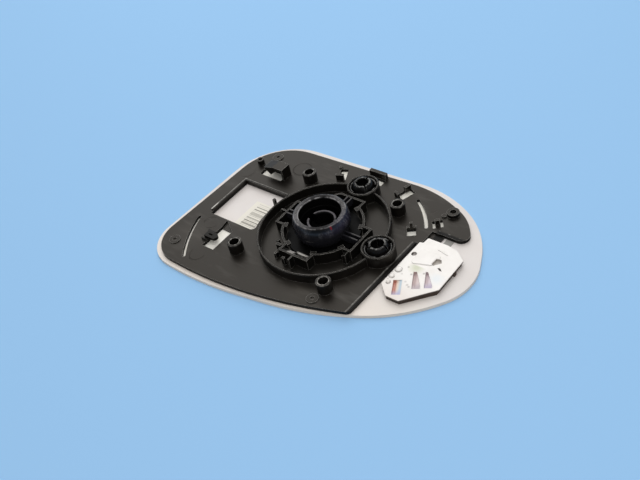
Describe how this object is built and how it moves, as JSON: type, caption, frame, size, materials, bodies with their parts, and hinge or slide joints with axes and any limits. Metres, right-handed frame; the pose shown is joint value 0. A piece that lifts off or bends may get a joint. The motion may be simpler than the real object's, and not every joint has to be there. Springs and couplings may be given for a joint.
{
  "type": "door mirror glass",
  "caption": "Door mirror glass with bonded backing plate, pivot ring, two jackscrew sockets and side light guide.",
  "frame": {"origin": "on the pivot axis, at the mirror face", "axes": "+Z through the glass towards the back, +X towards the lower jackscrew socket and the light module, +Y towards the upper jackscrew socket; the glass lies on its mirror face"},
  "size_m": [0.1924, 0.1297, 0.0224],
  "materials": {
    "glass_back": "pale protective coat on the silvered back, bright mirror on the face below",
    "sheet_white": "thin off-white bonding sheet",
    "label_paper": "cream printed stock label with plain bars",
    "plate_black": "fine-grained moulded ABS",
    "ring_black": "smooth blue-black acetal with a light film of grease",
    "socket_black": "smooth black acetal",
    "tray_brown": "dark brown moulded plastic",
    "lens_white": "milky clear acrylic with prism pockets"
  },
  "bodies": {
    "root": {"mirror_glass": "glass_back", "bonding_sheet": "sheet_white", "stock_label": "label_paper", "backing_plate": "plate_black", "pivot_ring": "ring_black", "jackscrew_socket_upper": "socket_black", "jackscrew_socket_lower": "socket_black", "signal_tray": "tray_brown", "signal_lens": "lens_white"}
  },
  "joints": []
}
